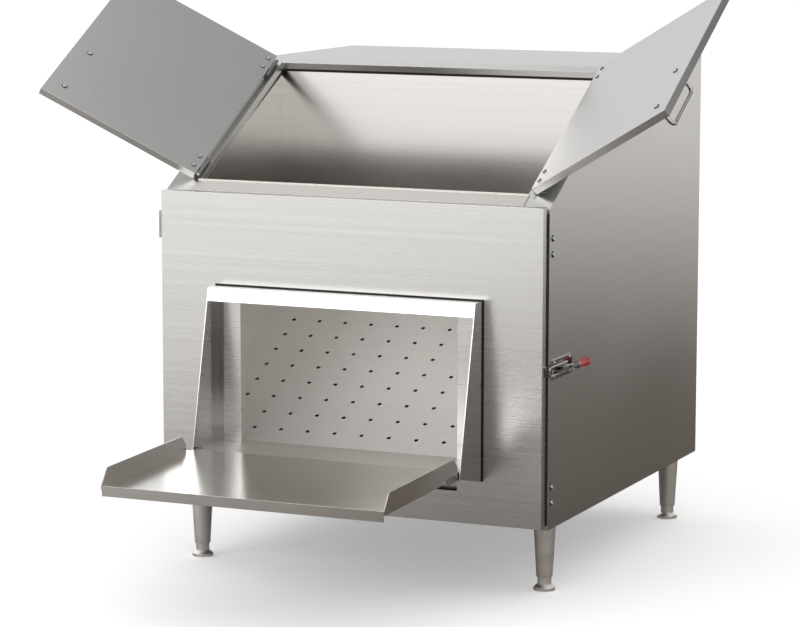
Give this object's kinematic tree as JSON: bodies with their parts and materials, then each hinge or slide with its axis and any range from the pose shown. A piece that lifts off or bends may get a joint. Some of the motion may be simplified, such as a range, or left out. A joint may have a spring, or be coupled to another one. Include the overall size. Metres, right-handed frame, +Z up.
{
  "type": "chip warmer",
  "caption": "Free-standing stainless cabinet that keeps chips warm, with side-hinged lids on its sloping top and a hooded tray door in a hinged front panel.",
  "frame": {"origin": "on the floor plane, under the middle of the cabinet's plan", "axes": "+Z up; the front panel faces -Y; +X is to the right of someone facing the front panel"},
  "size_m": [1.2638, 1.3443, 1.1142],
  "materials": {
    "brushed_sheet": "grained stainless sheet",
    "plain_sheet": "plain mill-finish sheet",
    "bright_sheet": "bright stainless sheet",
    "polished_sheet": "fine-grained, nearly polished stainless sheet",
    "liner_sheet": "smooth stainless liner sheet",
    "element_sheath": "dark oxidised heater sheath",
    "hinge_steel": "satin stainless",
    "plated_steel": "bright zinc plate",
    "screw_steel": "bright stainless fasteners",
    "handle_steel": "polished wire",
    "leg_nickel": "satin nickel plate",
    "black_plastic": "black moulded plastic",
    "black_rubber": "black sponge rubber",
    "red_grip": "dipped vinyl",
    "red_plastic": "glossy moulded plastic"
  },
  "bodies": {
    "cabinet": {"side_panel_left": "brushed_sheet", "side_panel_right": "brushed_sheet", "back_panel": "brushed_sheet", "base_pan": "plain_sheet", "top_cover": "brushed_sheet", "front_sill": "bright_sheet", "thermal_break": "black_rubber", "front_frame": "plain_sheet", "hopper_liner": "liner_sheet", "hopper_floor": "liner_sheet", "rear_baffle": "liner_sheet", "heater_duct": "plain_sheet", "heating_element": "element_sheath", "blower": "plain_sheet", "left_lid_fixed_leaves": "hinge_steel", "right_lid_fixed_leaves": "hinge_steel", "left_lid_pins": "hinge_steel", "right_lid_pins": "hinge_steel", "door_fixed_leaves": "hinge_steel", "door_pins": "hinge_steel", "latch_base": "plated_steel", "latch_bolts": "screw_steel", "side_screws": "screw_steel", "leg_front_left": "leg_nickel", "leg_front_right": "leg_nickel", "leg_rear_left": "leg_nickel", "leg_rear_right": "leg_nickel", "cord_gland": "black_plastic", "control_plate": "plain_sheet"},
    "front_door": {"front_panel": "polished_sheet", "panel_liner": "liner_sheet", "door_gasket": "black_rubber", "hood": "bright_sheet", "chute_floor": "liner_sheet", "pivot_ear_left": "bright_sheet", "pivot_ear_right": "bright_sheet", "tray_pins": "screw_steel", "keeper": "plated_steel", "door_leaves": "hinge_steel"},
    "tray_body": {"tray": "bright_sheet"},
    "latch_lever": {"latch_handle": "plated_steel", "latch_grip": "red_grip"},
    "latch_hook_body": {"latch_hook": "plated_steel"},
    "switch_body": {"rocker_switch": "red_plastic"},
    "knob_body": {"thermostat_knob": "black_plastic"},
    "left_lid": {"left_lid_outer": "brushed_sheet", "left_lid_inner": "bright_sheet", "left_lid_handle": "handle_steel", "left_lid_screws": "screw_steel", "left_lid_leaves": "hinge_steel"},
    "right_lid": {"right_lid_outer": "brushed_sheet", "right_lid_inner": "bright_sheet", "right_lid_handle": "handle_steel", "right_lid_screws": "screw_steel", "right_lid_leaves": "hinge_steel"},
    "foot_front_left_body": {"foot_front_left": "leg_nickel"},
    "foot_front_right_body": {"foot_front_right": "leg_nickel"},
    "foot_rear_left_body": {"foot_rear_left": "leg_nickel"},
    "foot_rear_right_body": {"foot_rear_right": "leg_nickel"}
  },
  "joints": [
    {"name": "left_lid_hinge", "type": "hinge", "parent": "cabinet", "child": "left_lid", "pos_m": [-0.3415, -0.21535, 0.84778], "axis": [0, 0.8704, 0.4924], "range_deg": [0, 147]},
    {"name": "right_lid_hinge", "type": "hinge", "parent": "cabinet", "child": "right_lid", "pos_m": [0.3415, -0.21535, 0.84778], "axis": [0, -0.8704, -0.4924], "range_deg": [0, 147]},
    {"name": "front_door_hinge", "type": "hinge", "parent": "cabinet", "child": "front_door", "pos_m": [-0.396, -0.434, 0.418], "axis": [0, 0, -1], "range_deg": [0, 110]},
    {"name": "tray_hinge", "type": "hinge", "parent": "front_door", "child": "tray_body", "pos_m": [0, -0.56714, 0.24699], "axis": [-1, 0, 0], "range_deg": [0, 104.3]},
    {"name": "latch_lever_hinge", "type": "hinge", "parent": "cabinet", "child": "latch_lever", "pos_m": [0.401, -0.378, 0.425], "axis": [0, 0, -1], "range_deg": [0, 120]},
    {"name": "latch_hook_hinge", "type": "hinge", "parent": "latch_lever", "child": "latch_hook_body", "pos_m": [0.3965, -0.356, 0.425], "axis": [0, 0, 1], "range_deg": [0, 130]},
    {"name": "switch_rocker", "type": "hinge", "parent": "cabinet", "child": "switch_body", "pos_m": [0.222, 0.427, 0.24], "axis": [-1, 0, 0], "range_deg": [0, 11]},
    {"name": "thermostat_turn", "type": "hinge", "parent": "cabinet", "child": "knob_body", "pos_m": [0.294, 0.429, 0.24], "axis": [0, 1, 0], "range_deg": [0, 270]},
    {"name": "foot_front_left_screw", "type": "slide", "parent": "cabinet", "child": "foot_front_left_body", "axis": [0, 0, 1], "range_m": [-0.02, 0]},
    {"name": "foot_front_right_screw", "type": "slide", "parent": "cabinet", "child": "foot_front_right_body", "axis": [0, 0, 1], "range_m": [-0.02, 0]},
    {"name": "foot_rear_left_screw", "type": "slide", "parent": "cabinet", "child": "foot_rear_left_body", "axis": [0, 0, 1], "range_m": [-0.02, 0]},
    {"name": "foot_rear_right_screw", "type": "slide", "parent": "cabinet", "child": "foot_rear_right_body", "axis": [0, 0, 1], "range_m": [-0.02, 0]}
  ],
  "couplings": [
    {"joint": "latch_hook_hinge", "follows": "latch_lever_hinge", "ratio": 1.08}
  ]
}
